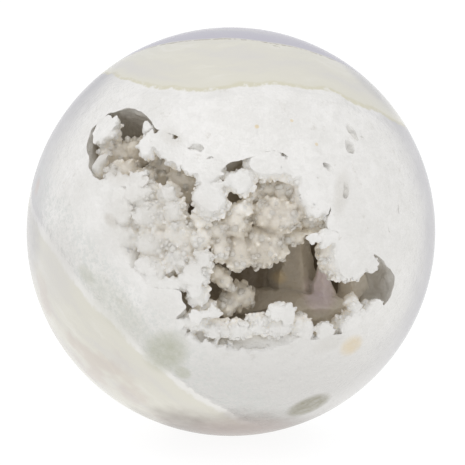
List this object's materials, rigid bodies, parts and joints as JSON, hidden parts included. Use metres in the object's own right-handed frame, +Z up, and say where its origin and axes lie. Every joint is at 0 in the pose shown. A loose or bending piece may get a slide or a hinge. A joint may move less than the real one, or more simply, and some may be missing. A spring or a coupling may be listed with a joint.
{
  "type": "quartz geode sphere",
  "caption": "Ball ground and polished from a milky quartz geode, with its own crystal-lined hollows left open on one side.",
  "frame": {"origin": "middle of the small ground flat at the bottom that the ball rests on", "axes": "+Z up, -Z out of the resting flat, the hollows face -Y and look 15 degrees upwards, +X to the right as seen from the front"},
  "size_m": [0.075, 0.0745, 0.0747],
  "materials": {
    "polished_quartz": "polished milky stone with cream, lavender grey and grey-green bands",
    "white_druse": "white translucent crystal crust, satin with small bright faces"
  },
  "bodies": {
    "root": {"stone_ball": "polished_quartz", "crystal_crust": "white_druse"}
  },
  "joints": []
}
